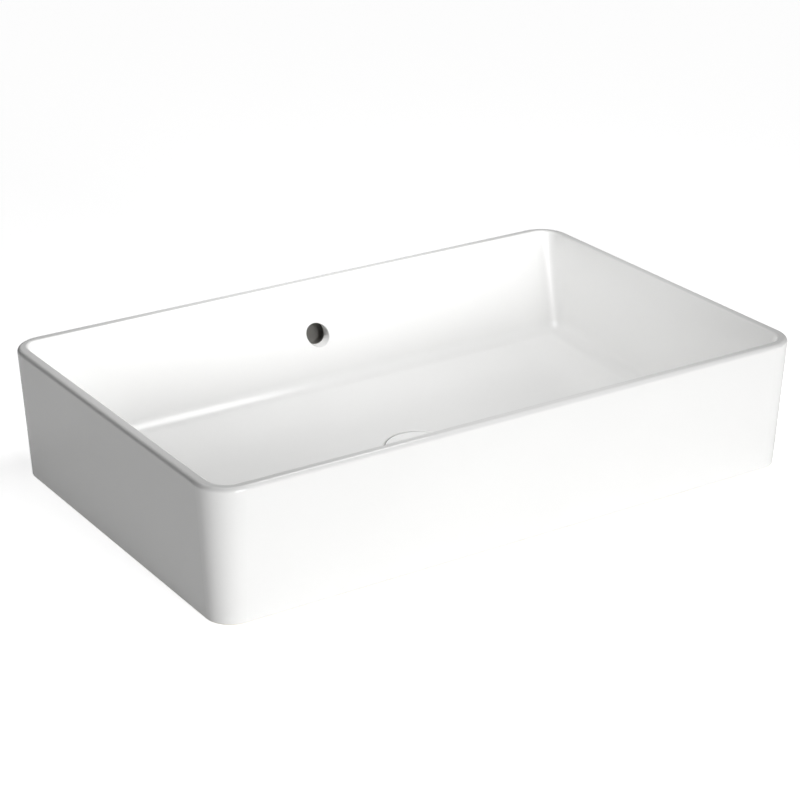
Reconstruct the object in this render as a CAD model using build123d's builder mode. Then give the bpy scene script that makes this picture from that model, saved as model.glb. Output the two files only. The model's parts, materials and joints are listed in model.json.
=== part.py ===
from build123d import *
from math import atan, cos, degrees, pi
import os

# Countertop basin with a slotted push-to-open waste, in millimetres.
# The origin is the centre of the base ring's underside. +X runs along the basin's length,
# +Y points at the wall with the overflow hole and +Z points up.

# Outside of the basin
basin_length = 600.0
basin_depth = 382.0
basin_height = 122.0
side_lean = 6.5
corner_radius = 30.0
rim_width = 10.0
rim_outer_round = 3.6
rim_inner_round = 2.4
skirt_wall = 10.0
hollow_height = 80.0

# Inside of the bowl
floor_edge_height = 38.5
floor_low_height = 27.0
back_slope_run = 59.0
front_slope_run = 16.0
end_slope_run = 28.0
floor_corner_radius = 22.0
end_corner_radius = 18.0
floor_valley_radius = 450.0
bowl_wall = 8.5
cut_margin = 10.0

# Overflow hole and the duct that leads from it to the drain
overflow_radius = 11.8
overflow_drop = 44.0
overflow_round = 0.8
duct_width = 32.0
duct_depth = 9.0
duct_wall = 6.0
duct_headroom = 4.0

# Drain opening in the ceramic
drain_y = -25.0
drain_gap = 1.545
seat_depth = 7.0
seat_round = 1.6
seat_lip = 5.0
chamber_reach = 6.5
chamber_height = 7.5
lower_lip = 6.0
boss_wall = 10.0

# Waste body
thread_radius = 20.955
body_wall = 2.4
body_length = 45.0
end_chamfer = 1.2
flange_thickness = 2.0
flange_setback = 0.5
flange_round = 0.6
seal_cone_depth = 4.0
seal_cone_width = 2.8
slot_count = 4
slot_width = 16.0
bridge_drop = 2.0
bridge_height = 8.0
arm_width = 3.0
arm_count = 3
arm_turn = 90.0
hub_wall = 3.0

# Plain tube screwed into the waste body's lower end
tail_radius = 16.0
tail_wall = 1.4
tail_reach = 53.0
socket_depth = 10.5
socket_step = 1.0
ledge_height = 2.0
tail_seal_thickness = 1.2

# Seals, washer and nut under the ceramic
gasket_thickness = 1.5
gasket_setback = 0.8
washer_thickness = 5.0
washer_overlap = 6.5
nose_height = 2.5
nose_taper = 0.6
slip_thickness = 2.0
slip_setback = 0.5
nut_wall = 6.0
nut_height = 10.0
nut_chamfer = 2.0

# Cartridge that latches the plug down
cartridge_radius = 8.0
cartridge_wall = 2.0
cartridge_length = 42.0
cartridge_rise = 7.0
cartridge_roof = 2.5
collar_ledge = 1.2
collar_height = 2.5
cap_thickness = 2.5
cap_spigot_height = 1.5
cap_drain_radius = 2.0
groove_count = 3
groove_width = 2.2
groove_depth = 0.9
plug_travel = 9.0
travel_margin = 0.3
piston_length = 8.5
tooth_count = 6
tooth_height = 1.5
tooth_width = 1.9
tooth_depth = 1.6
rotor_length = 5.0
rotor_wall = 2.2
spring_wire = 0.8
spring_turns = 7
spring_play = 1.0
stud_radius = 3.0
stud_depth = 10.0
neck_wall = 1.5

# Plug
cover_radius = 31.0
cover_gap = 1.2
cover_thickness = 3.8
cover_crown = 1.2
cover_round = 1.2
cover_lift = 0.4
carrier_gap = 0.6
carrier_thickness = 3.1
carrier_hub_wall = 4.0
carrier_hub_height = 3.3
carrier_roof = 0.6
spigot_radius = 9.0
spigot_height = 2.4
pad_thickness = 0.8
pad_setback = 1.0
seal_height = 1.7
seal_groove_depth = 1.5
seal_gap = 0.3

# Clearances
thread_gap = 0.05
slide_gap = 0.08
bond_gap = 0.1
tooth_gap = 0.15

# Places that follow from the sizes above
wall_drop = basin_height - floor_edge_height
rim_half_x = basin_length / 2 - rim_width
rim_half_y = basin_depth / 2 - rim_width
side_draft = degrees(atan(side_lean / basin_height))
back_lean = atan(back_slope_run / wall_drop)
back_floor_y = rim_half_y - back_slope_run
front_floor_y = front_slope_run - rim_half_y
back_fall = atan((floor_edge_height - floor_low_height) / (back_floor_y - drain_y))
front_fall = atan((floor_edge_height - floor_low_height) / (drain_y - front_floor_y))
valley_half_turn = (back_fall + front_fall) / 2
drain_height = floor_low_height + floor_valley_radius * (1 / cos(valley_half_turn) - 1)
overflow_height = basin_height - overflow_drop
duct_top = overflow_height + overflow_radius + duct_headroom

drain_radius = thread_radius + drain_gap
seat_radius = cover_radius + cover_gap
chamber_radius = drain_radius + chamber_reach
boss_radius = seat_radius + boss_wall
seat_height = drain_height - seat_depth
chamber_top = seat_height - seat_lip
chamber_bottom = chamber_top - chamber_height
boss_bottom = chamber_bottom - lower_lip

flange_radius = cover_radius - flange_setback
flange_bottom = seat_height + gasket_thickness
flange_top = flange_bottom + flange_thickness
body_bottom = flange_bottom - body_length
body_bore = thread_radius - body_wall
socket_radius = tail_radius + socket_step
socket_top = body_bottom + socket_depth
tail_top = socket_top - tail_seal_thickness
tail_bottom = body_bottom - tail_reach
tail_bore = tail_radius - tail_wall
ledge_top = socket_top + ledge_height
cone_bottom = flange_top - seal_cone_depth
cone_slope = seal_cone_width / seal_cone_depth
bridge_top = chamber_bottom - bridge_drop
bridge_bottom = bridge_top - bridge_height
hub_bore = cartridge_radius + thread_gap
hub_radius = hub_bore + hub_wall
nut_bore = thread_radius + thread_gap
washer_radius = drain_radius + washer_overlap
washer_bottom = boss_bottom - washer_thickness
slip_bottom = washer_bottom - slip_thickness
nut_bottom = slip_bottom - nut_height

cover_bottom = flange_top + cover_lift
cover_edge = cover_bottom + cover_thickness
carrier_radius = body_bore - carrier_gap
carrier_top = cover_bottom - pad_thickness
carrier_bottom = carrier_top - carrier_thickness
carrier_hub_bottom = carrier_bottom - carrier_hub_height
groove_radius = carrier_radius - seal_groove_depth
seal_bottom = carrier_bottom + (carrier_thickness - seal_height) / 2
seal_top = seal_bottom + seal_height
pocket_top = carrier_top + spigot_height + bond_gap

housing_top = bridge_top + cartridge_rise
housing_bottom = housing_top - cartridge_length
bore_top = housing_top - cartridge_roof
piston_bore = cartridge_radius - cartridge_wall
piston_radius = piston_bore - slide_gap
rib_radius = piston_radius + groove_depth
rib_width = groove_width - 2 * slide_gap
neck_radius = stud_radius + neck_wall
piston_top = bore_top - travel_margin - plug_travel
piston_bottom = piston_top - piston_length
rotor_top = piston_bottom - tooth_height
rotor_bottom = rotor_top - rotor_length
spring_bottom = housing_bottom + cap_spigot_height
spring_radius = piston_bore - spring_play - spring_wire / 2

drain_plane = Plane((0, drain_y, 0))
drain_section = Plane.XZ.offset(-drain_y)
drain_axis = Axis((0, drain_y, 0), (0, 0, 1))


def bowl_section(growth):
    """Front-to-back section of the bowl's space, grown outwards by a wall."""
    rise = cut_margin / wall_drop
    top = basin_height + cut_margin
    with BuildSketch() as section:
        with BuildLine():
            Polyline(
                (-rim_half_y - front_slope_run * rise, top),
                (front_floor_y, floor_edge_height),
                (drain_y, floor_low_height),
                (back_floor_y, floor_edge_height),
                (rim_half_y + back_slope_run * rise, top),
                close=True,
            )
        make_face()
        corners = section.vertices().sort_by(Axis.Y)
        fillet(corners[0], floor_valley_radius)
        corners = section.vertices().filter_by_position(Axis.Y, floor_edge_height, floor_edge_height)
        fillet(corners, floor_corner_radius)
        if growth > 0:
            offset(amount=growth, kind=Kind.INTERSECTION)
    return section.sketch


def bowl_form(growth):
    """The bowl's space, or with a growth the outside of its wall."""
    rise = cut_margin / wall_drop
    top = basin_height + cut_margin
    with BuildPart() as form:
        with BuildSketch(Plane.YZ):
            add(bowl_section(growth))
        extrude(amount=basin_length, both=True)
        with BuildSketch(Plane.XZ):
            with BuildLine():
                Polyline(
                    (-rim_half_x - end_slope_run * rise, top),
                    (end_slope_run * basin_height / wall_drop - rim_half_x, 0),
                    (rim_half_x - end_slope_run * basin_height / wall_drop, 0),
                    (rim_half_x + end_slope_run * rise, top),
                    close=True,
                )
            make_face()
            if growth > 0:
                offset(amount=growth, kind=Kind.INTERSECTION)
        extrude(amount=basin_depth, both=True, mode=Mode.INTERSECT)
        ends = form.faces().sort_by(Axis.X)
        corners = ends[0].edges().sort_by(Axis.Z)[:-1] + ends[-1].edges().sort_by(Axis.Z)[:-1]
        fillet(corners, end_corner_radius + growth)
    return form.part


def duct_form(inner, outer, width, start_y, top):
    """A strip that follows the outside of the bowl from the back wall to the drain."""
    with BuildPart() as form:
        with BuildSketch(Plane.YZ):
            add(bowl_section(outer))
            add(bowl_section(inner), mode=Mode.SUBTRACT)
            with Locations((start_y, 0)):
                Rectangle(basin_depth, top, align=(Align.MIN, Align.MIN), mode=Mode.INTERSECT)
        extrude(amount=width / 2, both=True)
    return form.part


def ring(inner, outer, bottom, top):
    """A flat ring on the drain's axis."""
    with BuildPart() as form:
        with BuildSketch(drain_plane.offset(bottom)):
            Circle(outer)
            if inner > 0:
                Circle(inner, mode=Mode.SUBTRACT)
        extrude(amount=top - bottom)
    return form.part


def turned(points):
    """A form turned about the drain's axis from its half section of radii and heights."""
    with BuildPart() as form:
        with BuildSketch(drain_section):
            with BuildLine():
                Polyline(*points, close=True)
            make_face()
        revolve(axis=drain_axis)
    return form.part


def spokes(count, inner, outer, width, bottom, top, turn=0):
    """Straight bars set round the drain's axis like the spokes of a wheel."""
    with BuildPart() as form:
        with BuildSketch(drain_plane.offset(bottom)):
            with PolarLocations((inner + outer) / 2, count, start_angle=turn):
                Rectangle(outer - inner, width)
        extrude(amount=top - bottom)
    return form.part


def save(piece, name):
    piece.label = name
    export_step(piece, f"parts/{name}.step")


os.makedirs("parts", exist_ok=True)

# Glazed ceramic basin: a leaning outer skirt and a thin bowl, with a hollow between them
# that is open below
with BuildPart() as underside_hollow:
    with BuildSketch():
        RectangleRounded(
            basin_length - 2 * (side_lean + skirt_wall),
            basin_depth - 2 * (side_lean + skirt_wall),
            corner_radius - side_lean - skirt_wall / 2,
        )
    extrude(amount=hollow_height, taper=-side_draft)
    add(bowl_form(bowl_wall), mode=Mode.SUBTRACT)
    block_growth = bowl_wall + duct_depth + duct_wall
    block_width = duct_width + 2 * duct_wall
    add(duct_form(bowl_wall / 2, block_growth, block_width, drain_y, duct_top), mode=Mode.SUBTRACT)
    add(ring(0, boss_radius, boss_bottom, drain_height), mode=Mode.SUBTRACT)

# Level hole through the sloping back wall into the duct. It is flattened, so that its mouth
# is round on the slope.
with BuildPart() as overflow_hole:
    with BuildSketch(Plane.YZ):
        add(bowl_section(bowl_wall + duct_depth / 2))
    extrude(amount=2 * overflow_radius, both=True)
    with BuildSketch(Plane.XZ):
        with Locations((0, overflow_height)):
            Ellipse(overflow_radius, overflow_radius * cos(back_lean))
    extrude(amount=-basin_depth, mode=Mode.INTERSECT)

with BuildPart() as basin_body:
    with BuildSketch(Plane.XY.offset(basin_height)):
        RectangleRounded(basin_length, basin_depth, corner_radius)
    extrude(amount=-basin_height, taper=side_draft)
    fillet(basin_body.faces().sort_by(Axis.Z)[-1].edges(), rim_outer_round)
    add(bowl_form(0), mode=Mode.SUBTRACT)
    rim = basin_body.faces().filter_by(Plane.XY).sort_by(Axis.Z)[-1]
    fillet(rim.inner_wires()[0].edges(), rim_inner_round)
    add(ring(0, seat_radius, seat_height, drain_height + cut_margin), mode=Mode.SUBTRACT)
    seat_middle = seat_height + seat_depth / 2
    seat_mouth = basin_body.edges(Select.LAST).filter_by(lambda edge: edge.center().Z > seat_middle)
    fillet(seat_mouth.filter_by(GeomType.LINE, reverse=True), seat_round)
    add(overflow_hole.part, mode=Mode.SUBTRACT)
    mouth = basin_body.edges(Select.LAST).filter_by(GeomType.LINE, reverse=True).sort_by(Axis.Y)
    fillet(mouth[0], overflow_round)
    add(underside_hollow.part, mode=Mode.SUBTRACT)
    passage = duct_form(
        bowl_wall, bowl_wall + duct_depth, duct_width, drain_y + seat_radius + seat_lip, duct_top
    )
    add(passage, mode=Mode.SUBTRACT)
    with BuildSketch(drain_plane.offset(chamber_bottom)):
        Circle(chamber_radius)
        Rectangle(duct_width, seat_radius + boss_wall - duct_wall / 2, align=(Align.CENTER, Align.MIN))
    extrude(amount=chamber_height, mode=Mode.SUBTRACT)
    add(ring(0, drain_radius, boss_bottom - cut_margin, drain_height), mode=Mode.SUBTRACT)

save(basin_body.part, "basin_body")

# Chromed brass waste: flange with a sealing cone, slotted and threaded body, bridge inside
# and a socket with a ledge at the lower end
with BuildPart() as waste_body:
    body_section = [
        (socket_radius + thread_gap, body_bottom),
        (thread_radius - end_chamfer, body_bottom),
        (thread_radius, body_bottom + end_chamfer),
        (thread_radius, flange_bottom),
        (flange_radius, flange_bottom),
        (flange_radius, flange_top),
        (body_bore + seal_cone_width, flange_top),
        (body_bore, cone_bottom),
        (body_bore, ledge_top + body_bore - tail_bore),
        (tail_bore, ledge_top),
        (tail_bore, socket_top),
        (socket_radius + thread_gap, socket_top),
    ]
    add(turned(body_section))
    rims = waste_body.edges().filter_by(GeomType.CIRCLE).group_by(SortBy.RADIUS)[-1]
    fillet(rims.sort_by(Axis.Z)[-1], flange_round)
    slot_inner = body_bore - body_wall
    slot_outer = thread_radius + body_wall
    slots = spokes(slot_count, slot_inner, slot_outer, slot_width, chamber_bottom, chamber_top)
    add(slots, mode=Mode.SUBTRACT)
    arm_inner = hub_radius - hub_wall / 2
    arm_outer = body_bore + body_wall / 2
    add(spokes(arm_count, arm_inner, arm_outer, arm_width, bridge_bottom, bridge_top, arm_turn))
    add(ring(hub_bore, hub_radius, bridge_bottom, bridge_top))
save(waste_body.part, "waste_body")

# Chromed brass tube with a thicker threaded top
tailpiece = turned([
    (tail_bore, tail_bottom),
    (tail_radius - tail_wall / 2, tail_bottom),
    (tail_radius, tail_bottom + tail_wall / 2),
    (tail_radius, body_bottom),
    (socket_radius, body_bottom),
    (socket_radius, tail_top),
    (tail_bore, tail_top),
])
save(tailpiece, "tailpiece")

# Rubber ring that the tube's top presses against the ledge
tail_seal = ring(tail_bore, socket_radius - bond_gap, tail_top, socket_top)
save(tail_seal, "tail_seal")

# Rubber ring between the flange and the ceramic seat
flange_gasket = ring(nut_bore, flange_radius - gasket_setback, seat_height, flange_bottom)
save(flange_gasket, "flange_gasket")

# Rubber washer whose nose centres it in the drain hole
nose_radius = drain_radius - nose_taper / 2
tapered_washer = turned([
    (nut_bore, washer_bottom),
    (washer_radius, washer_bottom),
    (washer_radius, boss_bottom),
    (nose_radius, boss_bottom),
    (nose_radius - nose_taper, boss_bottom + nose_height),
    (nut_bore, boss_bottom + nose_height),
])
save(tapered_washer, "tapered_washer")

# Hard plastic ring that the nut turns against
slip_washer = ring(nut_bore, washer_radius - slip_setback, slip_bottom, washer_bottom)
save(slip_washer, "slip_washer")

# Hexagonal brass nut, its corners turned off at both ends
with BuildPart() as backnut:
    with BuildSketch(drain_plane.offset(nut_bottom)):
        RegularPolygon(thread_radius + nut_wall, 6, major_radius=False)
        Circle(nut_bore, mode=Mode.SUBTRACT)
    extrude(amount=nut_height)
    corner = (thread_radius + nut_wall) / cos(pi / 6)
    lathe_form = turned([
        (0, nut_bottom),
        (corner - nut_chamfer, nut_bottom),
        (corner, nut_bottom + nut_chamfer / 2),
        (corner, slip_bottom - nut_chamfer / 2),
        (corner - nut_chamfer, slip_bottom),
        (0, slip_bottom),
    ])
    add(lathe_form, mode=Mode.INTERSECT)
save(backnut.part, "backnut")

# Cartridge body: a hexagonal collar on the bridge, a bore with guide grooves and a roof
with BuildPart() as cartridge_housing:
    add(ring(0, cartridge_radius, housing_bottom, housing_top))
    with BuildSketch(drain_plane.offset(bridge_top)):
        RegularPolygon(cartridge_radius + collar_ledge, 6, major_radius=False)
    extrude(amount=collar_height)
    add(ring(0, piston_bore, housing_bottom, bore_top), mode=Mode.SUBTRACT)
    grooves = spokes(groove_count, 0, piston_bore + groove_depth, groove_width, housing_bottom, bore_top)
    add(grooves, mode=Mode.SUBTRACT)
    add(ring(0, neck_radius + slide_gap, bore_top, housing_top), mode=Mode.SUBTRACT)
save(cartridge_housing.part, "cartridge_housing")

# Cap under the cartridge, with a spigot that the spring stands on and a weep hole
with BuildPart() as cartridge_cap:
    add(ring(cap_drain_radius, cartridge_radius, housing_bottom - cap_thickness, housing_bottom))
    add(ring(cap_drain_radius, piston_bore - bond_gap, housing_bottom, spring_bottom))
save(cartridge_cap.part, "cartridge_cap")

# Sliding stem: a ribbed piston with a toothed foot, and a neck with a threaded hole
foot_inner = piston_radius - tooth_depth
tooth_outer = piston_radius - slide_gap
half_pitch = 180 / tooth_count
with BuildPart() as plunger:
    add(ring(0, piston_radius, piston_bottom, piston_top))
    add(ring(0, neck_radius, piston_top, carrier_hub_bottom))
    add(spokes(groove_count, foot_inner, rib_radius, rib_width, piston_bottom, piston_top))
    tooth_bottom = rotor_top + tooth_gap
    add(spokes(tooth_count, foot_inner, tooth_outer, tooth_width, tooth_bottom, piston_bottom, half_pitch))
    stud_hole = ring(0, stud_radius + thread_gap, carrier_hub_bottom - stud_depth, carrier_hub_bottom)
    add(stud_hole, mode=Mode.SUBTRACT)
save(plunger.part, "plunger")

# Latch ring under the piston: lugs that run in the grooves, and teeth between the piston's
with BuildPart() as latch_rotor:
    add(ring(piston_radius - rotor_wall, piston_radius, rotor_bottom, rotor_top))
    add(spokes(groove_count, foot_inner, rib_radius, rib_width, rotor_bottom, rotor_top))
    tooth_top = piston_bottom - tooth_gap
    add(spokes(tooth_count, foot_inner, tooth_outer, tooth_width, rotor_top, tooth_top))
save(latch_rotor.part, "latch_rotor")

# Coil spring between the cap and the latch ring
with BuildPart() as return_spring:
    coil_height = rotor_bottom - spring_bottom - spring_wire
    with BuildLine(drain_plane.offset(spring_bottom + spring_wire / 2)) as coil:
        Helix(coil_height / spring_turns, coil_height, spring_radius)
    with BuildSketch(Plane(coil.line @ 0, z_dir=coil.line % 0)):
        Circle(spring_wire / 2)
    sweep(path=coil.line, is_frenet=True)
save(return_spring.part, "return_spring")

# Threaded stud that joins the plug to the stem
stud_top = carrier_top - carrier_roof
stem_stud = ring(0, stud_radius, carrier_hub_bottom - stud_depth, stud_top)
save(stem_stud, "stem_stud")

# Metal disc under the plug: a hub for the stud, a groove for the seal and a spigot above
with BuildPart() as plug_carrier:
    add(ring(0, carrier_radius, carrier_bottom, carrier_top))
    add(ring(0, stud_radius + carrier_hub_wall, carrier_hub_bottom, carrier_bottom))
    add(ring(0, spigot_radius, carrier_top, carrier_top + spigot_height))
    add(ring(groove_radius, carrier_radius + seal_groove_depth, seal_bottom, seal_top), mode=Mode.SUBTRACT)
    add(ring(0, stud_radius + thread_gap, carrier_hub_bottom, stud_top), mode=Mode.SUBTRACT)
save(plug_carrier.part, "plug_carrier")

# Rubber seal whose slanted lip lies just above the flange's cone
seal_foot = body_bore + cone_slope * (seal_bottom - cone_bottom) - seal_gap
seal_brim = body_bore + cone_slope * (seal_top - cone_bottom) - seal_gap
plug_seal = turned([
    (groove_radius, seal_bottom),
    (seal_foot, seal_bottom),
    (seal_brim, seal_top),
    (groove_radius, seal_top),
])
save(plug_seal, "plug_seal")

# Thin rubber pad between the disc and the ceramic cover
cover_pad = ring(spigot_radius + pad_setback, carrier_radius - pad_setback, carrier_top, cover_bottom)
save(cover_pad, "cover_pad")

# Glazed ceramic cover: low domed top, rounded edge and a pocket for the spigot
with BuildPart() as plug_cover:
    with BuildSketch(drain_section) as cover_section:
        with BuildLine():
            TangentArc((0, cover_edge + cover_crown), (cover_radius, cover_edge), tangent=(1, 0))
            Polyline(
                (cover_radius, cover_edge),
                (cover_radius, cover_bottom),
                (spigot_radius + bond_gap, cover_bottom),
                (spigot_radius + bond_gap, pocket_top),
                (0, pocket_top),
                (0, cover_edge + cover_crown),
            )
        make_face()
        brim = cover_section.vertices().group_by(Axis.X)[-1].sort_by(Axis.Y)[-1]
        fillet(brim, cover_round)
    revolve(axis=drain_axis)
save(plug_cover.part, "plug_cover")
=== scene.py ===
import json
from math import cos, pi, radians, sin

import bmesh
import bpy
from bpy.props import FloatProperty, FloatVectorProperty, IntProperty, PointerProperty
from mathutils import Matrix, Vector


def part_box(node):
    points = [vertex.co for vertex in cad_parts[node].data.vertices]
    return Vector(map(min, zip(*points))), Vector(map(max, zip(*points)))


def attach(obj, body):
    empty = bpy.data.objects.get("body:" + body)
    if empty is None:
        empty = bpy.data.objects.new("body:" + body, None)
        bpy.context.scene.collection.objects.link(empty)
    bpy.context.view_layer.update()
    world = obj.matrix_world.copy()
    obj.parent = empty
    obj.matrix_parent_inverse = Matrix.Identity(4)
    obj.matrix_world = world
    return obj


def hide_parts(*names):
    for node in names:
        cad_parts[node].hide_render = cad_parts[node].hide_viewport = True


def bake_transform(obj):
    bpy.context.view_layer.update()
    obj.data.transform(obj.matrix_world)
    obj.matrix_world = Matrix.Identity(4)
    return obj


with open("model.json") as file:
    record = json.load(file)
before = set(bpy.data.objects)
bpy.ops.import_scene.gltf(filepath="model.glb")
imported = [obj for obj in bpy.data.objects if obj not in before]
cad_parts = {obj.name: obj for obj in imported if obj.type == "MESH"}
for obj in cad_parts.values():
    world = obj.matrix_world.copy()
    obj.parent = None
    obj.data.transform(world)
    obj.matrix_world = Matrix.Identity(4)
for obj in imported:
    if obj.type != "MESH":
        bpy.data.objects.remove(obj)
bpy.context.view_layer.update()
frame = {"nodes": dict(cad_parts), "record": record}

bl_info = {
    "name": "Countertop Basin",
    "version": (1, 0, 0),
    "blender": (4, 5, 0),
    "location": "View3D > Sidebar > Basin",
    "description": "Dresses a glazed countertop basin and its push-to-open waste",
    "category": "Object",
}

MM = 0.001

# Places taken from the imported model, in metres
BASIN_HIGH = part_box("basin_body")[1]
WASTE_LOW, WASTE_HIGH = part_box("waste_body")
SPRING_LOW, SPRING_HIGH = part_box("return_spring")
DRAIN = (WASTE_LOW + WASTE_HIGH) / 2
DRAIN.z = 0.0

# The kinds of node that most of the trees are made of. A MIX blends its sockets 2 and 3,
# or with data_type="RGBA" the colours at 6 and 7, by its socket 0.
MATH = "ShaderNodeMath"
VECTOR_MATH = "ShaderNodeVectorMath"
NOISE = "ShaderNodeTexNoise"
MIX = "ShaderNodeMix"


def to_linear(hex_colour):
    """Linear RGBA of an sRGB colour written as six hex digits."""
    channels = []
    for place in (0, 2, 4):
        value = int(hex_colour[place:place + 2], 16) / 255
        channels.append(value / 12.92 if value <= 0.04045 else ((value + 0.055) / 1.055) ** 2.4)
    return (*channels, 1.0)


def length(name, description, default):
    """A property for a length in metres."""
    return FloatProperty(
        name=name, description=description, default=default, unit="LENGTH", precision=5
    )


def share(name, description, default):
    """A property from 0 to 1."""
    return FloatProperty(
        name=name, description=description, default=default, min=0.0, max=1.0, subtype="FACTOR"
    )


def angle(name, description, degrees):
    """A property for an angle."""
    return FloatProperty(
        name=name, description=description, default=radians(degrees), subtype="ANGLE"
    )


def strength(name, description, default):
    """A property for a light's strength."""
    return FloatProperty(name=name, description=description, default=default, min=0.0)


def colour(name, description, hex_colour):
    """A property for a colour, given as sRGB hex digits."""
    return FloatVectorProperty(
        name=name, description=description, default=to_linear(hex_colour), subtype="COLOR",
        size=4, min=0.0, max=1.0,
    )


class CeramicSettings(bpy.types.PropertyGroup):
    glaze_colour: colour("Glaze", "Colour of the white glaze", "F7F7F6")
    thin_colour: colour("Thin Glaze", "Colour where the glaze has run a little thinner", "F4F4F3")
    clay_colour: colour("Bare Clay", "Colour of the fired clay where it has no glaze", "E4DDCF")
    # The duct's grey is painted shade: it stands for the dark inside the overflow hole, not for
    # the clay's own colour.
    duct_colour: colour("Duct", "Colour of the unglazed duct behind the overflow hole", "8A8884")
    glaze_roughness: share("Glaze Roughness", "Roughness of the fired glaze", 0.25)
    clay_roughness: share("Clay Roughness", "Roughness of the bare clay", 0.85)
    foot_band: length("Foot Band", "Height of the bare ground band at the base", 0.7 * MM)
    bowl_wall: length("Bowl Wall", "Thickness of the bowl's wall", 8.5 * MM)
    duct_depth: length("Duct Depth", "Depth of the duct behind the back wall", 9.0 * MM)
    duct_width: length("Duct Width", "Width of the duct behind the back wall", 32.0 * MM)
    rim_width: length("Rim Width", "Width of the rim", 10.0 * MM)
    back_run: length("Back Run", "How far the back wall slopes forwards", 59.0 * MM)
    back_drop: length("Back Drop", "How far the back wall slopes down", 83.5 * MM)
    wave_width: length("Wave Width", "Width of the slow waves in the glaze", 45 * MM)
    wave_height: length("Wave Height", "Height of the slow waves in the glaze", 0.02 * MM)
    peel_width: length("Peel Width", "Width of the ripple that spraying leaves", 1.8 * MM)
    peel_height: length("Peel Height", "Height of the ripple that spraying leaves", 0.0012 * MM)


class WasteSettings(bpy.types.PropertyGroup):
    body_bore: length("Bore", "Radius of the waste's bore", 18.555 * MM)
    thread_radius: length("Thread Radius", "Radius over the G 1 1/4 thread's crests", 20.955 * MM)
    thread_pitch: length("Thread Pitch", "Rise of each turn, eleven to the inch", 2.309 * MM)
    thread_depth: length("Thread Depth", "Depth of the thread", 1.35 * MM)
    flange_thickness: length("Flange Thickness", "Thickness of the flange", 2.0 * MM)
    flange_round: length("Flange Round", "Rounding of the flange's edges", 0.6 * MM)
    cone_depth: length("Cone Depth", "Depth of the cone that the plug's seal closes on", 4.0 * MM)
    cone_width: length("Cone Width", "Width of the cone that the plug's seal closes on", 2.8 * MM)
    slot_count: IntProperty(name="Slots", description="Number of overflow slots", default=4, min=1)
    slot_width: length("Slot Width", "Width of each overflow slot", 16.0 * MM)
    slot_height: length("Slot Height", "Height of each overflow slot", 7.5 * MM)
    slot_drop: length("Slot Drop", "From the flange down to the middle of the slots", 10.25 * MM)
    slot_round: length("Slot Round", "Corner radius of each overflow slot", 1.5 * MM)
    arm_count: IntProperty(name="Arms", description="Number of bridge arms", default=3, min=1)
    arm_width: length("Arm Width", "Width of each arm of the bridge", 3.0 * MM)
    hub_bore: length("Hub Bore", "Radius of the hole that holds the cartridge", 8.05 * MM)
    hub_wall: length("Hub Wall", "Wall of the hub that holds the cartridge", 3.0 * MM)
    bridge_drop: length("Bridge Drop", "From the slots down to the bridge", 2.0 * MM)
    bridge_height: length("Bridge Height", "Height of the bridge", 8.0 * MM)
    socket_depth: length("Socket Depth", "Depth of the socket for the tailpiece", 10.5 * MM)
    socket_radius: length("Socket Radius", "Radius of the socket for the tailpiece", 17.05 * MM)
    ledge_height: length("Ledge Height", "Height of the ledge above the socket", 2.0 * MM)
    tail_bore: length("Tail Bore", "Radius of the tailpiece's bore", 14.6 * MM)


class SpringSettings(bpy.types.PropertyGroup):
    wire_radius: length("Wire Radius", "Radius of the spring's wire", 0.4 * MM)
    turns: IntProperty(name="Turns", description="Turns of the spring", default=8, min=3)


class FinishSettings(bpy.types.PropertyGroup):
    chrome_colour: colour("Chrome", "Colour of the chrome plate", "D3D6D8")
    brass_colour: colour("Brass", "Colour of the turned brass", "E3C07C")
    steel_colour: colour("Spring Steel", "Colour of the drawn stainless wire", "B4B6B8")
    rubber_colour: colour("Rubber", "Colour of the seals and washers", "1D1D1F")
    nylon_colour: colour("Nylon", "Colour of the slip washer, cap and latch ring", "E7E5DD")
    acetal_colour: colour("Acetal", "Colour of the cartridge's body and stem", "74777B")


class StageSettings(bpy.types.PropertyGroup):
    camera_azimuth: angle("Camera Azimuth", "Turn of the camera from the front", -33.02)
    camera_elevation: angle("Camera Elevation", "Height angle of the camera", 22.98)
    camera_distance: length("Camera Distance", "From the camera to the point it circles", 2.130)
    look_height: length("Look Height", "Height of the point that the camera circles", 60 * MM)
    look_right: length("Look Right", "Shift of the camera to its right", -3.97 * MM)
    look_up: length("Look Up", "Shift of the camera upwards", 4.20 * MM)
    focal_length: FloatProperty(
        name="Focal Length", description="Focal length for a sensor 36 mm wide", default=106.1,
        unit="CAMERA",
    )
    floor_colour: colour("Floor", "Colour of the plain floor", "FCFCFC")
    bounce_colour: colour("Bounce", "Colour of the floor as it lights the basin", "F3F3F3")
    floor_white: strength("Floor White", "Light that the floor in view gives off", 0.8)
    floor_glow: strength("Floor Glow", "Light that the lit floor gives off", 0.34)
    floor_reach: length("Floor Reach", "Half the width of the floor", 14.0)
    front_strength: strength("Front Light", "Strength of the low front light", 2.0)
    key_strength: strength("Key Light", "Strength of the raised front light", 0.21)
    side_strength: strength("Side Light", "Strength of the light from the right", 0.132)
    box_power: strength("Softbox", "Power in watts of the softbox over the bowl", 1.54)
    end_box_power: strength("End Softbox", "Power in watts of the softbox over the left end", 0.24)
    room_strength: strength("Room Light", "Strength of the light from all round", 0.03)
    box_width: length("Softbox Width", "Width of each softbox", 0.25)
    box_height: length("Softbox Height", "Height of the softboxes over the worktop", 0.5)


def fill(tree, node, inputs):
    """Fills a node's sockets. A node given as a value stands for its first output in use."""
    for key, value in inputs.items():
        if isinstance(value, bpy.types.Node):
            value = next(socket for socket in value.outputs if socket.enabled)
        if isinstance(value, bpy.types.NodeSocket):
            tree.links.new(value, node.inputs[key])
        else:
            node.inputs[key].default_value = value


def add_node(tree, kind, inputs=None, **settings):
    """Adds a node, sets its properties, and fills its sockets with values or links."""
    node = tree.nodes.new(kind)
    for name, value in settings.items():
        setattr(node, name, value)
    fill(tree, node, inputs or {})
    return node


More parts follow.
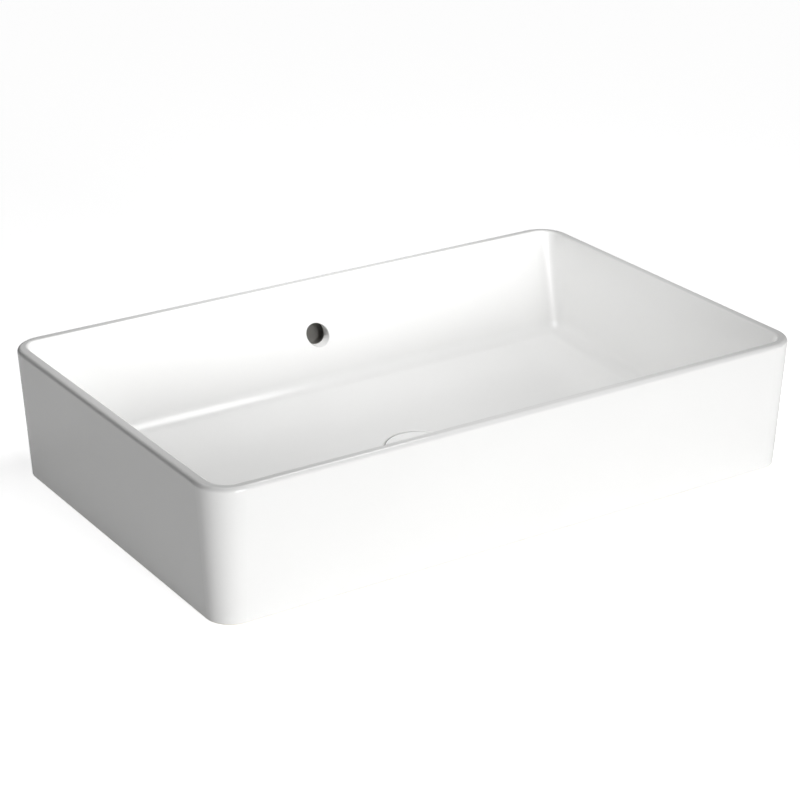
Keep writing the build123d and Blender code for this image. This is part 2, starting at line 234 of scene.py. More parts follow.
def new_material(name):
    """A material with a bare Principled shader, as its material, tree and shader."""
    material = bpy.data.materials.new(name)
    material.use_nodes = True
    tree = material.node_tree
    tree.nodes.clear()
    shader = add_node(tree, "ShaderNodeBsdfPrincipled")
    add_node(tree, "ShaderNodeOutputMaterial", {"Surface": shader})
    return material, tree, shader


def darkened(base, loss):
    """The colour that is left when that share of its light is lost."""
    return [channel * (1 - loss) for channel in base[:3]] + [1.0]


def ripple(tree, place, width, height, detail=1.0):
    """A relief of soft irregular bumps of that width and height."""
    spots = add_node(tree, NOISE, {"Vector": place, "Scale": 1 / width, "Detail": detail})
    return add_node(tree, MATH, {0: spots, 1: height}, operation="MULTIPLY")


def glazed_vitreous_china(settings):
    """White sanitary ware: soft glaze, bare clay at the foot, in the duct and under the bowl."""
    # Vitreous china is a dense white body under a fired glassy coat. It gives the eye a clean
    # white with reflections that waver a little, kept as soft here as the photograph has
    # them. The foot is ground flat and the hollow under the bowl is not sprayed, so both are
    # matt and cream. The duct is matt, and its grey is painted shade that makes the overflow
    # hole look dark.
    material, tree, shader = new_material("glazed_vitreous_china")
    place = add_node(tree, "ShaderNodeTexCoord").outputs["Object"]
    across, _, height = add_node(tree, "ShaderNodeSeparateXYZ", {0: place}).outputs
    facing = add_node(tree, "ShaderNodeNewGeometry").outputs["Normal"]
    upward = add_node(tree, "ShaderNodeSeparateXYZ", {0: facing}).outputs["Z"]

    # The ground band at the foot, with a slightly uneven edge
    wobble_width = 9 * MM
    wobble_height = 0.4 * MM
    edge = ripple(tree, place, wobble_width, wobble_height)
    edge = add_node(tree, MATH, {0: height, 1: edge}, operation="ADD")
    foot = add_node(tree, MATH, {0: edge, 1: settings.foot_band}, operation="LESS_THAN")

    # The hollow: the faces that are inside the outer wall, low down and not turned upwards,
    # apart from those round the drain. The wall's corners turn about the point given here.
    corner_round = 30 * MM
    hollow_reach = 18.5 * MM
    hollow_top = 62 * MM
    steepest_glaze = 0.12
    drain_height = 34 * MM
    drain_reach = 35 * MM
    turning_point = Vector((BASIN_HIGH.x - corner_round, BASIN_HIGH.y - corner_round, 1.0))
    drain_middle = DRAIN + Vector((0, 0, drain_height))
    beyond = add_node(tree, VECTOR_MATH, {0: place}, operation="ABSOLUTE")
    beyond = add_node(tree, VECTOR_MATH, {0: beyond, 1: turning_point}, operation="SUBTRACT")
    beyond = add_node(tree, VECTOR_MATH, {0: beyond}, operation="MAXIMUM")
    reach = add_node(tree, VECTOR_MATH, {0: beyond}, operation="LENGTH")
    to_drain = add_node(tree, VECTOR_MATH, {0: place, 1: drain_middle}, operation="DISTANCE")
    under = add_node(tree, MATH, {0: reach, 1: hollow_reach}, operation="LESS_THAN")
    for value, test, limit in (
        (upward, "LESS_THAN", steepest_glaze),
        (height, "LESS_THAN", hollow_top),
        (to_drain, "GREATER_THAN", drain_reach),
    ):
        passed = add_node(tree, MATH, {0: value, 1: limit}, operation=test)
        under = add_node(tree, MATH, {0: under, 1: passed}, operation="MULTIPLY")
    bare = add_node(tree, MATH, {0: under, 1: foot}, operation="MAXIMUM")

    # The duct, which runs down along the outside of the bowl's sloping back wall
    duct_top = 96 * MM
    duct_margin = 0.2 * MM
    half_depth = settings.duct_depth / 2
    half_width = settings.duct_width / 2
    rim_edge = Vector((0, BASIN_HIGH.y - settings.rim_width, BASIN_HIGH.z))
    outwards = Vector((0, settings.back_drop, -settings.back_run)).normalized()
    behind = add_node(tree, VECTOR_MATH, {0: place, 1: rim_edge}, operation="SUBTRACT")
    behind = add_node(tree, VECTOR_MATH, {0: behind, 1: outwards}, operation="DOT_PRODUCT")
    duct = add_node(
        tree, MATH, {0: behind, 1: settings.bowl_wall + half_depth, 2: half_depth + duct_margin},
        operation="COMPARE",
    )
    in_width = add_node(
        tree, MATH, {0: across, 1: 0.0, 2: half_width + duct_margin}, operation="COMPARE"
    )
    below = add_node(tree, MATH, {0: height, 1: duct_top}, operation="LESS_THAN")
    duct = add_node(tree, MATH, {0: duct, 1: in_width}, operation="MULTIPLY")
    duct = add_node(tree, MATH, {0: duct, 1: below}, operation="MULTIPLY")
    bare = add_node(tree, MATH, {0: bare, 1: duct}, operation="MAXIMUM")

    drift_width = 110 * MM
    grain_width = 0.7 * MM
    clay_dark = darkened(settings.clay_colour, 0.1)
    drift = add_node(tree, NOISE, {"Vector": place, "Scale": 1 / drift_width, "Detail": 2.0})
    glaze = add_node(
        tree, MIX, {0: drift, 6: settings.glaze_colour, 7: settings.thin_colour},
        data_type="RGBA",
    )
    grain = add_node(tree, NOISE, {"Vector": place, "Scale": 1 / grain_width, "Detail": 3.0})
    clay = add_node(
        tree, MIX, {0: grain, 6: clay_dark, 7: settings.clay_colour}, data_type="RGBA"
    )
    # Inside the duct the bare clay is painted grey, as painted shade, so that the overflow hole
    # looks dark.
    clay = add_node(tree, MIX, {0: duct, 6: clay, 7: settings.duct_colour}, data_type="RGBA")
    tint = add_node(tree, MIX, {0: bare, 6: glaze, 7: clay}, data_type="RGBA")

    smear_width = 60 * MM
    smear_spread = 0.03
    smoothest = settings.glaze_roughness - smear_spread / 2
    smear = add_node(tree, NOISE, {"Vector": place, "Scale": 1 / smear_width, "Detail": 2.0})
    polish = add_node(
        tree, MATH, {0: smear, 1: smear_spread, 2: smoothest}, operation="MULTIPLY_ADD"
    )
    rough = add_node(tree, MIX, {0: bare, 2: polish, 3: settings.clay_roughness})

    grain_height = 0.04 * MM
    waves = ripple(tree, place, settings.wave_width, settings.wave_height)
    peel = ripple(tree, place, settings.peel_width, settings.peel_height)
    glaze_relief = add_node(tree, MATH, {0: waves, 1: peel}, operation="ADD")
    clay_relief = add_node(tree, MATH, {0: grain, 1: grain_height}, operation="MULTIPLY")
    relief = add_node(tree, MIX, {0: bare, 2: glaze_relief, 3: clay_relief})
    bump = add_node(tree, "ShaderNodeBump", {"Height": relief, "Distance": 1.0})
    fill(tree, shader, {"Base Color": tint, "Roughness": rough, "IOR": 1.46, "Normal": bump})
    return material


def turning_marks(tree, width, depth):
    """A bump with the fine rings that a lathe leaves round the drain's axis."""
    place = add_node(tree, "ShaderNodeTexCoord").outputs["Object"]
    centred = add_node(tree, "ShaderNodeMapping", {"Vector": place, "Location": -DRAIN})
    x, y, z = add_node(tree, "ShaderNodeSeparateXYZ", {0: centred}).outputs
    square = add_node(tree, MATH, {0: x, 1: x}, operation="MULTIPLY")
    square = add_node(tree, MATH, {0: y, 1: y, 2: square}, operation="MULTIPLY_ADD")
    radius = add_node(tree, MATH, {0: square}, operation="SQRT")
    along = add_node(tree, MATH, {0: radius, 1: z}, operation="ADD")
    turns = add_node(tree, "ShaderNodeCombineXYZ", {"Z": along})
    rings = ripple(tree, turns, width, depth, detail=2.0)
    return add_node(tree, "ShaderNodeBump", {"Height": rings, "Distance": 1.0})


def chromed_brass(settings):
    """Bright chrome plate on turned brass."""
    # Plated over a polished turned part: a cool mirror with very faint rings left by the
    # lathe, drawn 0.5 mm apart where the real ones are finer, so that they show.
    material, tree, shader = new_material("chromed_brass")
    place = add_node(tree, "ShaderNodeTexCoord").outputs["Object"]
    haze_width = 7 * MM
    haze_spread = 0.06
    smoothest = 0.05
    haze = add_node(tree, NOISE, {"Vector": place, "Scale": 1 / haze_width, "Detail": 3.0})
    rough = add_node(
        tree, MATH, {0: haze, 1: haze_spread, 2: smoothest}, operation="MULTIPLY_ADD"
    )
    fill(tree, shader, {
        "Base Color": settings.chrome_colour,
        "Metallic": 1.0,
        "Roughness": rough,
        "Normal": turning_marks(tree, width=0.5 * MM, depth=0.0006 * MM),
    })
    return material


def turned_brass(settings):
    """Plain yellow brass as it leaves the lathe."""
    # Bare machined brass: warm yellow, satin, with tool rings and a duller brown film in
    # patches. The rings are drawn 0.35 mm apart where the real feed is about 0.1 mm.
    material, tree, shader = new_material("turned_brass")
    place = add_node(tree, "ShaderNodeTexCoord").outputs["Object"]
    film_width = 6 * MM
    film_spread = 0.2
    smoothest = 0.2
    film_colour = darkened(settings.brass_colour, 0.28)
    film = add_node(tree, NOISE, {"Vector": place, "Scale": 1 / film_width, "Detail": 4.0})
    tint = add_node(
        tree, MIX, {0: film, 6: settings.brass_colour, 7: film_colour}, data_type="RGBA"
    )
    rough = add_node(
        tree, MATH, {0: film, 1: film_spread, 2: smoothest}, operation="MULTIPLY_ADD"
    )
    fill(tree, shader, {
        "Base Color": tint,
        "Metallic": 1.0,
        "Roughness": rough,
        "Normal": turning_marks(tree, width=0.35 * MM, depth=0.004 * MM),
    })
    return material


def drawn_spring_steel(settings):
    """Stainless spring wire."""
    # Wire drawn through a die: grey and satin, with slight streaks.
    material, tree, shader = new_material("drawn_spring_steel")
    place = add_node(tree, "ShaderNodeTexCoord").outputs["Object"]
    streak_width = 0.6 * MM
    streak_spread = 0.15
    smoothest = 0.22
    streaks = add_node(tree, NOISE, {"Vector": place, "Scale": 1 / streak_width, "Detail": 2.0})
    rough = add_node(
        tree, MATH, {0: streaks, 1: streak_spread, 2: smoothest}, operation="MULTIPLY_ADD"
    )
    fill(tree, shader, {
        "Base Color": settings.steel_colour, "Metallic": 1.0, "Roughness": rough,
    })
    return material


def moulded(name, base, roughness, grain_width, grain_depth, loss):
    """A moulded polymer with a fine even grain, which darkens in patches by that loss."""
    material, tree, shader = new_material(name)
    place = add_node(tree, "ShaderNodeTexCoord").outputs["Object"]
    drift_width = 9 * MM
    drift_spread = 0.1
    smoothest = roughness - drift_spread / 2
    drift = add_node(tree, NOISE, {"Vector": place, "Scale": 1 / drift_width, "Detail": 3.0})
    tint = add_node(tree, MIX, {0: drift, 6: base, 7: darkened(base, loss)}, data_type="RGBA")
    rough = add_node(
        tree, MATH, {0: drift, 1: drift_spread, 2: smoothest}, operation="MULTIPLY_ADD"
    )
    grain = ripple(tree, place, grain_width, grain_depth, detail=2.0)
    bump = add_node(tree, "ShaderNodeBump", {"Height": grain, "Distance": 1.0})
    fill(tree, shader, {"Base Color": tint, "Roughness": rough, "Normal": bump})
    return material


def moulded_rubber(settings):
    """Black rubber of the seals."""
    # Compression moulded rubber: nearly black, matt, with a fine sandy skin.
    return moulded(
        "moulded_rubber", settings.rubber_colour, roughness=0.72,
        grain_width=0.5 * MM, grain_depth=0.01 * MM, loss=0.3,
    )


def moulded_nylon(settings):
    """Off-white nylon of the slip washer, the cap and the latch ring."""
    # Injection moulded nylon: milky white, satin, faintly mottled.
    return moulded(
        "moulded_nylon", settings.nylon_colour, roughness=0.42,
        grain_width=0.8 * MM, grain_depth=0.003 * MM, loss=0.06,
    )


def moulded_acetal(settings):
    """Grey acetal of the cartridge."""
    # Injection moulded acetal: even grey with a waxy sheen.
    return moulded(
        "moulded_acetal", settings.acetal_colour, roughness=0.36,
        grain_width=0.8 * MM, grain_depth=0.002 * MM, loss=0.08,
    )


# How each of the record's slots is finished: the material's function and its settings
MAKERS = {
    "glazed_china": (glazed_vitreous_china, "basin_ceramic"),
    "chromed_brass": (chromed_brass, "basin_finish"),
    "plain_brass": (turned_brass, "basin_finish"),
    "spring_steel": (drawn_spring_steel, "basin_finish"),
    "black_rubber": (moulded_rubber, "basin_finish"),
    "white_nylon": (moulded_nylon, "basin_finish"),
    "grey_acetal": (moulded_acetal, "basin_finish"),
}


def material_for(slot):
    """The material of one of the record's slots, made the first time it is asked for."""
    make, group = MAKERS[slot]
    name = make.__name__
    if name not in bpy.data.materials:
        make(getattr(bpy.context.scene, group))
    return bpy.data.materials[name]


def dress(slot):
    """Gives the slot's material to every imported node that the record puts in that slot."""
    for row in frame["record"]["subparts"]:
        if row["material_slot"] == slot:
            node = frame["nodes"][row["node"]]
            node.data.materials.clear()
            node.data.materials.append(material_for(slot))


def new_piece(name, mesh, slot, body=None):
    """A piece of the object in the scene, with its slot's material, and its body if one is given.
    """
    mesh.materials.clear()
    mesh.materials.append(material_for(slot))
    piece = bpy.data.objects.new(name, mesh)
    bpy.context.scene.collection.objects.link(piece)
    if body:
        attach(piece, body)
    return piece


def smooth_by_angle(mesh, degrees):
    """Smooth shading, with the edges sharper than that angle left sharp."""
    mesh.shade_smooth()
    mesh.set_sharp_from_angle(angle=radians(degrees))


def arc(centre_r, centre_z, radius, start, end, steps):
    """Points of a profile on a round, as radius and height, between two angles in degrees."""
    points = []
    for step in range(steps + 1):
        turn = radians(start + (end - start) * step / steps)
        points.append((centre_r + radius * cos(turn), centre_z + radius * sin(turn)))
    return points


def add_turned(bm, profile, segments):
    """Adds a closed profile of radii and heights, turned about the drain's axis."""
    rings = []
    for radius, height in profile:
        ring = []
        for step in range(segments):
            turn = 2 * pi * step / segments
            offset = Vector((radius * cos(turn), radius * sin(turn), height))
            ring.append(bm.verts.new(DRAIN + offset))
        rings.append(ring)
    for low, high in zip(rings, rings[1:] + rings[:1]):
        for step in range(segments):
            after = (step + 1) % segments
            bm.faces.new((low[step], low[after], high[after], high[step]))


def add_block(bm, outline, turn, start, end):
    """Adds a prism that runs out from the drain's axis. Its outline is sideways and height."""
    spin = Matrix.Rotation(turn, 3, "Z")
    near, far = (
        [bm.verts.new(DRAIN + spin @ Vector((reach, side, height))) for side, height in outline]
        for reach in (start, end)
    )
    bm.faces.new(near)
    bm.faces.new(far)
    for index in range(len(outline)):
        after = (index + 1) % len(outline)
        bm.faces.new((near[index], near[after], far[after], far[index]))


def rounded_box(width, low, high, corner, steps=5):
    """Outline of a rectangle with rounded corners, centred on 0 and between two heights."""
    side = width / 2 - corner
    points = []
    for centre_x, centre_z, start in (
        (side, low + corner, -90),
        (side, high - corner, 0),
        (-side, high - corner, 90),
        (-side, low + corner, 180),
    ):
        points += arc(centre_x, centre_z, corner, start, start + 90, steps)
    return points


def finished_mesh(bm, name):
    """The mesh of a bmesh, with its doubles merged and its normals outwards."""
    weld_distance = 0.0005 * MM
    bmesh.ops.remove_doubles(bm, verts=bm.verts, dist=weld_distance)
    bmesh.ops.recalc_face_normals(bm, faces=bm.faces)
    mesh = bpy.data.meshes.new(name)
    bm.to_mesh(mesh)
    bm.free()
    return mesh


def shaped(name, mesh, kind, **settings):
    """The mesh that one modifier makes of a mesh, with inputs as its node tree names them."""
    holder = bpy.data.objects.new(name, mesh)
    bpy.context.scene.collection.objects.link(holder)
    modifier = holder.modifiers.new(name, kind)
    inputs = settings.pop("inputs", {})
    for key, value in settings.items():
        setattr(modifier, key, value)
    for item in modifier.node_group.interface.items_tree if inputs else ():
        if item.in_out == "INPUT" and item.name in inputs:
            modifier[item.identifier] = inputs[item.name]
    evaluated = holder.evaluated_get(bpy.context.evaluated_depsgraph_get())
    made = bpy.data.meshes.new_from_object(evaluated)
    bpy.data.objects.remove(holder)
    return made


def node_tree_with(name, inputs):
    """An empty Geometry Nodes tree with named inputs: the tree and its input node."""
    tree = bpy.data.node_groups.new(name, "GeometryNodeTree")
    for label, kind in inputs.items():
        tree.interface.new_socket(label, in_out="INPUT", socket_type="NodeSocket" + kind)
    tree.interface.new_socket("Geometry", in_out="OUTPUT", socket_type="NodeSocketGeometry")
    return tree, add_node(tree, "NodeGroupInput").outputs


def end_tree(tree, geometry, material):
    """Ends a tree in real geometry with its material."""
    real = add_node(tree, "GeometryNodeRealizeInstances", {0: geometry})
    painted = add_node(
        tree, "GeometryNodeSetMaterial", {"Geometry": real, "Material": material}
    )
    add_node(tree, "NodeGroupOutput", {0: painted})


def screw_thread_tree():
    """Adds a V thread that winds up round an axis, and fades out at both ends."""
    steps_a_turn = 72
    fades_a_turn = 3.0
    root_share = 0.94
    crest_share = 0.14
    tree, given = node_tree_with("screw_thread", {
        "Geometry": "Geometry", "Centre": "Vector", "Root Radius": "Float", "Depth": "Float",
        "Pitch": "Float", "Rise": "Float", "Material": "Material",
    })
    turns = add_node(tree, MATH, {0: given["Rise"], 1: given["Pitch"]}, operation="DIVIDE")
    path = add_node(tree, "GeometryNodeCurveSpiral", {
        "Resolution": steps_a_turn, "Rotations": turns, "Start Radius": given["Root Radius"],
        "End Radius": given["Root Radius"], "Height": given["Rise"],
    })
    placed = add_node(tree, "GeometryNodeTransform", {0: path, "Translation": given["Centre"]})
    level = add_node(tree, "GeometryNodeSetCurveNormal", {0: placed}, mode="Z_UP")

    # The ridge grows to its full height over the first third of a turn from either end
    along = add_node(tree, "GeometryNodeSplineParameter").outputs["Factor"]
    back = add_node(tree, MATH, {0: 1.0, 1: along}, operation="SUBTRACT")
    nearest = add_node(tree, MATH, {0: along, 1: back}, operation="MINIMUM")
    in_turns = add_node(tree, MATH, {0: nearest, 1: turns}, operation="MULTIPLY")
    fade = add_node(tree, MATH, {0: in_turns, 1: fades_a_turn}, operation="MULTIPLY")
    fade = add_node(tree, MATH, {0: fade, 1: 1.0}, operation="MINIMUM")

    # Its section stands on the root, as wide at root and crest as their shares of the pitch
    root = add_node(tree, MATH, {0: given["Pitch"], 1: root_share}, operation="MULTIPLY")
    crest = add_node(tree, MATH, {0: given["Pitch"], 1: crest_share}, operation="MULTIPLY")
    section = add_node(
        tree, "GeometryNodeCurvePrimitiveQuadrilateral",
        {"Height": given["Depth"], "Bottom Width": root, "Top Width": crest, "Offset": 0.0},
        mode="TRAPEZOID",
    )
    half = add_node(tree, MATH, {0: given["Depth"], 1: 0.5}, operation="MULTIPLY")
    lift = add_node(tree, "ShaderNodeCombineXYZ", {"Y": half})
    seated = add_node(tree, "GeometryNodeTransform", {0: section, "Translation": lift})
    ridge = add_node(tree, "GeometryNodeCurveToMesh", {
        "Curve": level, "Profile Curve": seated, "Scale": fade, "Fill Caps": True,
    })
    joined = add_node(tree, "GeometryNodeJoinGeometry", {0: ridge})
    fill(tree, joined, {0: given["Geometry"]})
    end_tree(tree, joined, given["Material"])
    return tree


def coil_spring_tree():
    """Winds a wire into a compression spring with closed ends."""
    steps_a_turn = 36
    wire_sides = 14
    closed_rise = 2.04  # Of a closed turn, in wire radii, so that it just clears the next
    tree, given = node_tree_with("coil_spring", {
        "Geometry": "Geometry", "Centre": "Vector", "Coil Radius": "Float",
        "Wire Radius": "Float", "Rise": "Float", "Turns": "Float", "Material": "Material",
    })
    path = add_node(tree, "GeometryNodeCurveSpiral", {
        "Resolution": steps_a_turn, "Rotations": given["Turns"],
        "Start Radius": given["Coil Radius"], "End Radius": given["Coil Radius"],
        "Height": given["Rise"],
    })

    # The first and last turns rise by a wire, and the turns between share what is left
    wire = add_node(
        tree, MATH, {0: given["Wire Radius"], 1: closed_rise}, operation="MULTIPLY"
    )
    along = add_node(tree, "GeometryNodeSplineParameter").outputs["Factor"]
    done = add_node(tree, MATH, {0: along, 1: given["Turns"]}, operation="MULTIPLY")
    open_turns = add_node(tree, MATH, {0: given["Turns"], 1: 2.0}, operation="SUBTRACT")
    left = add_node(
        tree, MATH, {0: wire, 1: -2.0, 2: given["Rise"]}, operation="MULTIPLY_ADD"
    )
    first = add_node(tree, MATH, {0: done, 1: 1.0}, operation="MINIMUM")
    middle = add_node(tree, MATH, {0: done, 1: 1.0}, operation="SUBTRACT")
    middle = add_node(tree, MATH, {0: middle, 1: open_turns}, operation="DIVIDE")
    middle = add_node(tree, MATH, {0: middle, 1: 0.0}, operation="MAXIMUM")
    middle = add_node(tree, MATH, {0: middle, 1: 1.0}, operation="MINIMUM")
    last = add_node(tree, MATH, {0: given["Turns"], 1: 1.0}, operation="SUBTRACT")
    last = add_node(tree, MATH, {0: done, 1: last}, operation="SUBTRACT")
    last = add_node(tree, MATH, {0: last, 1: 0.0}, operation="MAXIMUM")
    closed = add_node(tree, MATH, {0: first, 1: last}, operation="ADD")
    height = add_node(tree, MATH, {0: closed, 1: wire}, operation="MULTIPLY")
    height = add_node(tree, MATH, {0: middle, 1: left, 2: height}, operation="MULTIPLY_ADD")

    position = add_node(tree, "GeometryNodeInputPosition")
    x, y, _ = add_node(tree, "ShaderNodeSeparateXYZ", {0: position}).outputs
    raised = add_node(tree, "ShaderNodeCombineXYZ", {"X": x, "Y": y, "Z": height})
    wound = add_node(tree, "GeometryNodeSetPosition", {0: path, "Position": raised})
    placed = add_node(tree, "GeometryNodeTransform", {0: wound, "Translation": given["Centre"]})
    section = add_node(
        tree, "GeometryNodeCurvePrimitiveCircle",
        {"Resolution": wire_sides, "Radius": given["Wire Radius"]},
    )
    coil = add_node(tree, "GeometryNodeCurveToMesh", {
        "Curve": placed, "Profile Curve": section, "Fill Caps": True,
    })
    end_tree(tree, coil, given["Material"])
    return tree


class BASIN_OT_glaze(bpy.types.Operator):
    """Glaze the basin and the plug's cover"""

    bl_idname = "basin.glaze"
    bl_label = "Glaze the Ceramics"

    def execute(self, context):
        dress("glazed_china")
        return {"FINISHED"}


class BASIN_OT_waste(bpy.types.Operator):
    """Build the slotted and threaded waste body"""

    bl_idname = "basin.waste"
    bl_label = "Build the Waste"

    def execute(self, context):
        sizes = context.scene.basin_waste
        top, bottom = WASTE_HIGH.z, WASTE_LOW.z
        flange_radius = (WASTE_HIGH.x - WASTE_LOW.x) / 2
        flange_bottom = top - sizes.flange_thickness
        slot_middle = flange_bottom - sizes.slot_drop
        slot_low = slot_middle - sizes.slot_height / 2
        slot_high = slot_middle + sizes.slot_height / 2
        bridge_top = slot_low - sizes.bridge_drop
        thread_top = bridge_top + sizes.bridge_drop / 4
        root = sizes.thread_radius - sizes.thread_depth
        socket_top = bottom + sizes.socket_depth
        ledge_top = socket_top + sizes.ledge_height
        corner = sizes.flange_round
        cone_edge = sizes.body_bore + sizes.cone_width + corner

        profile = [
            (sizes.socket_radius, bottom),
            (root, bottom),
            (root, thread_top),
            (sizes.thread_radius, thread_top + sizes.thread_depth),
            (sizes.thread_radius, flange_bottom),
            (flange_radius, flange_bottom),
            *arc(flange_radius - corner, top - corner, corner, start=0, end=90, steps=6),
            *arc(cone_edge, top - corner, corner, start=90, end=145, steps=4),
            (sizes.body_bore, top - sizes.cone_depth),
            (sizes.body_bore, ledge_top + sizes.body_bore - sizes.tail_bore),
            (sizes.tail_bore, ledge_top),
            (sizes.tail_bore, socket_top),
            (sizes.socket_radius, socket_top),
        ]
        bm = bmesh.new()
        add_turned(bm, profile, segments=160)
        tube = finished_mesh(bm, "waste_tube")

        # The cutters reach well past the wall on both sides
        cut_start = sizes.body_bore * 0.6
        cut_end = sizes.thread_radius * 1.3
        bm = bmesh.new()
        outline = rounded_box(sizes.slot_width, slot_low, slot_high, sizes.slot_round)
        for index in range(sizes.slot_count):
            turn = 2 * pi * index / sizes.slot_count
            add_block(bm, outline, turn, cut_start, cut_end)
        cutter = bpy.data.objects.new("slot_cutter", finished_mesh(bm, "slot_cutter"))
        context.scene.collection.objects.link(cutter)
        slotted = shaped(
            "waste_tube", tube, "BOOLEAN", operation="DIFFERENCE", solver="EXACT", object=cutter
        )
        bpy.data.objects.remove(cutter)

        # The bridge's hub and arms, whose ends run into the hub and the wall
        hub_outside = sizes.hub_bore + sizes.hub_wall
        arm_start = hub_outside - sizes.hub_wall / 2
        arm_end = sizes.body_bore + sizes.thread_depth / 2
        arm_round = sizes.arm_width / 5
        bridge_bottom = bridge_top - sizes.bridge_height
        bm = bmesh.new()
        hub = [
            (sizes.hub_bore, bridge_bottom), (hub_outside, bridge_bottom),
            (hub_outside, bridge_top), (sizes.hub_bore, bridge_top),
        ]
        add_turned(bm, hub, segments=72)
        outline = rounded_box(sizes.arm_width, bridge_bottom, bridge_top, arm_round, steps=3)
        for index in range(sizes.arm_count):
            turn = pi / 2 + 2 * pi * index / sizes.arm_count
            add_block(bm, outline, turn, arm_start, arm_end)
        bm.from_mesh(slotted)
        body = finished_mesh(bm, "waste_body_threaded")

        # The thread's ridge is sunk a little into the wall that it stands on
        sunk = 0.02 * MM
        inputs = {
            "Centre": DRAIN + Vector((0, 0, bottom)),
            "Root Radius": root - sunk,
            "Depth": sizes.thread_depth,
            "Pitch": sizes.thread_pitch,
            "Rise": thread_top - bottom,
            "Material": material_for("chromed_brass"),
        }
        threaded = shaped(
            "waste_body_threaded", body, "NODES", node_group=screw_thread_tree(), inputs=inputs
        )
        smooth_by_angle(threaded, degrees=32)
        piece = new_piece("waste_body_threaded", threaded, "chromed_brass", "basin")
        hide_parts("waste_body")
        return {"FINISHED"}


class BASIN_OT_spring(bpy.types.Operator):
    """Wind the spring that lifts the plug, stretched between the cap and the latch ring"""

    bl_idname = "basin.spring"
    bl_label = "Wind the Spring"

    def execute(self, context):
        sizes = context.scene.basin_spring
        blank = bpy.data.meshes.new("lift_spring")
        inputs = {
            "Centre": DRAIN + Vector((0, 0, SPRING_LOW.z + sizes.wire_radius)),
            "Coil Radius": (SPRING_HIGH.x - SPRING_LOW.x) / 2 - sizes.wire_radius,
            "Wire Radius": sizes.wire_radius,
            "Rise": SPRING_HIGH.z - SPRING_LOW.z - 2 * sizes.wire_radius,
            "Turns": float(sizes.turns),
            "Material": material_for("spring_steel"),
        }
        coil = shaped("lift_spring", blank, "NODES", node_group=coil_spring_tree(), inputs=inputs)
        smooth_by_angle(coil, degrees=50)
        piece = new_piece("lift_spring", coil, "spring_steel")
        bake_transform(piece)
        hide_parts("return_spring")
        return {"FINISHED"}


class BASIN_OT_metal(bpy.types.Operator):
    """Finish the chromed and the plain brass pieces"""

    bl_idname = "basin.metal"
    bl_label = "Finish the Metal"

    def execute(self, context):
        dress("chromed_brass")
        dress("plain_brass")
        return {"FINISHED"}


class BASIN_OT_polymers(bpy.types.Operator):
    """Finish the rubber seals and the nylon and acetal pieces"""

    bl_idname = "basin.polymers"
    bl_label = "Finish the Rubber and Plastics"

    def execute(self, context):
        dress("black_rubber")
        dress("white_nylon")
        dress("grey_acetal")
        return {"FINISHED"}


def direction(azimuth, elevation):
    """Unit vector towards a light or camera. Azimuth 0 is in front and grows to the right."""
    return Vector((sin(azimuth) * cos(elevation), -cos(azimuth) * cos(elevation), sin(elevation)))


def aim(thing, backwards):
    """Turns a light or camera so that it looks against that vector."""
    thing.rotation_mode = "QUATERNION"
    thing.rotation_quaternion = (-backwards).to_track_quat("-Z", "Y")
    bpy.context.scene.collection.objects.link(thing)


def add_sun(name, power, azimuth, elevation, spread):
    """A distant light that is as soft as its spread in degrees is wide."""
    data = bpy.data.lights.new(name, "SUN")
    data.energy = power
    data.angle = radians(spread)
    aim(bpy.data.objects.new(name, data), direction(radians(azimuth), radians(elevation)))


def add_softbox(name, settings, power, x, y):
    """A square light that hangs over that place and shines straight down."""
    data = bpy.data.lights.new(name, "AREA")
    data.energy = power
    data.size = settings.box_width
    softbox = bpy.data.objects.new(name, data)
    softbox.location = (x, y, settings.box_height)
    softbox.visible_camera = False
    aim(softbox, Vector((0, 0, 1)))


def add_floor(name, settings, height, base, glow):
    """A plain matt square of floor at that height, of that base colour."""
    reach = settings.floor_reach
    corners = [(-reach, -reach), (reach, -reach), (reach, reach), (-reach, reach)]
    mesh = bpy.data.meshes.new(name)
    mesh.from_pydata([(x, y, height) for x, y in corners], [], [(0, 1, 2, 3)])
    material, tree, shader = new_material(name)
    fill(tree, shader, {
        "Base Color": base,
        "Roughness": 1.0,
        "Specular IOR Level": 0.0,
        "Emission Color": (1.0, 1.0, 1.0, 1.0),
        "Emission Strength": glow,
    })
    mesh.materials.append(material)
    floor = bpy.data.objects.new(name, mesh)
    bpy.context.scene.collection.objects.link(floor)
    return floor


def add_camera(settings):
    """The camera that sees the basin as the photograph does."""
    back = direction(settings.camera_azimuth, settings.camera_elevation)
    right = Vector((cos(settings.camera_azimuth), sin(settings.camera_azimuth), 0))
    data = bpy.data.cameras.new("camera")
    data.sensor_width = 36
    data.lens = settings.focal_length
    data.clip_end = 4 * settings.floor_reach
    camera = bpy.data.objects.new("camera", data)
    camera.location = (
        Vector((0, 0, settings.look_height)) + back * settings.camera_distance
        + right * settings.look_right + back.cross(right) * settings.look_up
    )
    aim(camera, back)
    return camera


def add_room(settings):
    """A world that gives a weak even light from all round."""
    room_grey = (0.9, 0.9, 0.9, 1.0)
    room = bpy.data.worlds.new("room")
    room.use_nodes = True
    background = room.node_tree.nodes["Background"]
    fill(room.node_tree, background, {"Color": room_grey, "Strength": settings.room_strength})
    return room


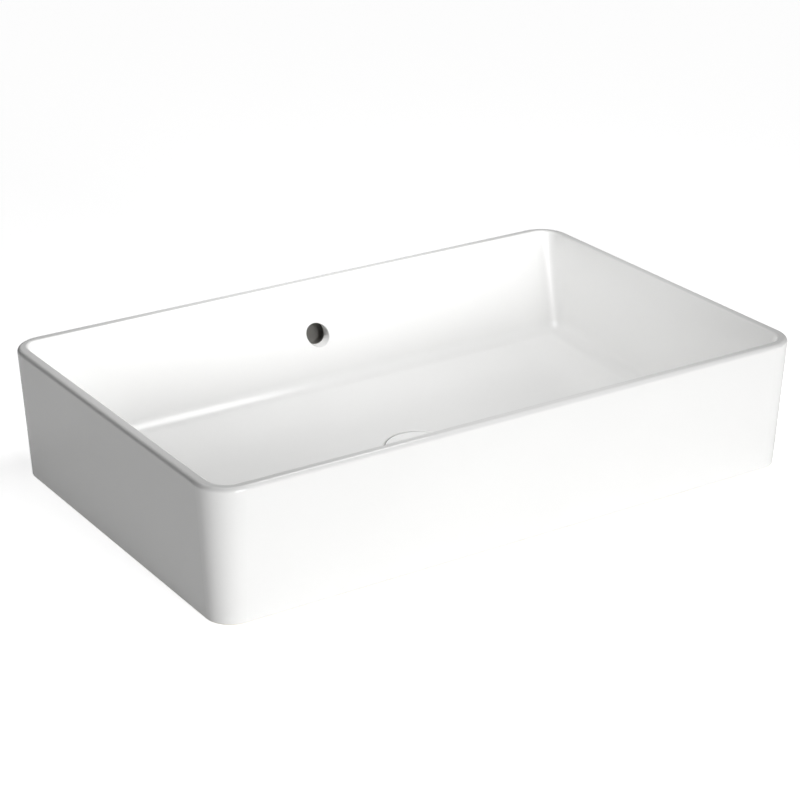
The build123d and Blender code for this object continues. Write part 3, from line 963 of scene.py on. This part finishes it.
class BASIN_OT_stage(bpy.types.Operator):
    """Set up the floor, the soft lights and the camera"""

    bl_idname = "basin.stage"
    bl_label = "Set Up the Stage"

    def execute(self, context):
        scene = context.scene
        settings = scene.basin_stage
        scene.view_settings.view_transform = "Standard"

        # The floor that the camera sees takes no part in the light. The one that lights the
        # basin lies just under it, out of the camera's sight.
        floor_gap = 0.2 * MM
        seen = add_floor("floor", settings, 0.0, settings.floor_colour, settings.floor_white)
        seen.visible_diffuse = False
        seen.visible_glossy = False
        seen.visible_shadow = False
        bounce = add_floor(
            "bounce", settings, -floor_gap, settings.bounce_colour, settings.floor_glow
        )
        bounce.visible_camera = False

        add_sun("front_light", settings.front_strength, azimuth=6, elevation=8, spread=20)
        add_sun("key_light", settings.key_strength, azimuth=15, elevation=25, spread=30)
        add_sun("side_light", settings.side_strength, azimuth=60, elevation=60, spread=30)
        add_softbox("softbox", settings, settings.box_power, x=0.05, y=0.05)
        add_softbox("end_softbox", settings, settings.end_box_power, x=-0.24, y=-0.03)
        scene.camera = add_camera(settings)
        scene.world = add_room(settings)
        return {"FINISHED"}


OPERATORS = (
    BASIN_OT_glaze, BASIN_OT_metal, BASIN_OT_polymers, BASIN_OT_waste, BASIN_OT_spring,
    BASIN_OT_stage,
)


class BASIN_PT_panel(bpy.types.Panel):
    """Lists the steps that dress the basin, and their sizes and colours"""

    bl_idname = "BASIN_PT_panel"
    bl_label = "Countertop Basin"
    bl_space_type = "VIEW_3D"
    bl_region_type = "UI"
    bl_category = "Basin"

    def draw(self, context):
        for operator in OPERATORS:
            self.layout.operator(operator.bl_idname)
        for group in GROUPS:
            box = self.layout.box()
            for name in GROUPS[group].__annotations__:
                box.prop(getattr(context.scene, group), name)


GROUPS = {
    "basin_ceramic": CeramicSettings,
    "basin_waste": WasteSettings,
    "basin_spring": SpringSettings,
    "basin_finish": FinishSettings,
    "basin_stage": StageSettings,
}
CLASSES = (*GROUPS.values(), *OPERATORS, BASIN_PT_panel)


def register():
    for item in CLASSES:
        bpy.utils.register_class(item)
    for name, group in GROUPS.items():
        setattr(bpy.types.Scene, name, PointerProperty(type=group))


def unregister():
    for name in GROUPS:
        delattr(bpy.types.Scene, name)
    for item in reversed(CLASSES):
        bpy.utils.unregister_class(item)


def main():
    register()
    bpy.ops.basin.glaze()
    bpy.ops.basin.metal()
    bpy.ops.basin.polymers()
    bpy.ops.basin.waste()
    bpy.ops.basin.spring()
    bpy.ops.basin.stage()


if __name__ == "__main__":
    main()
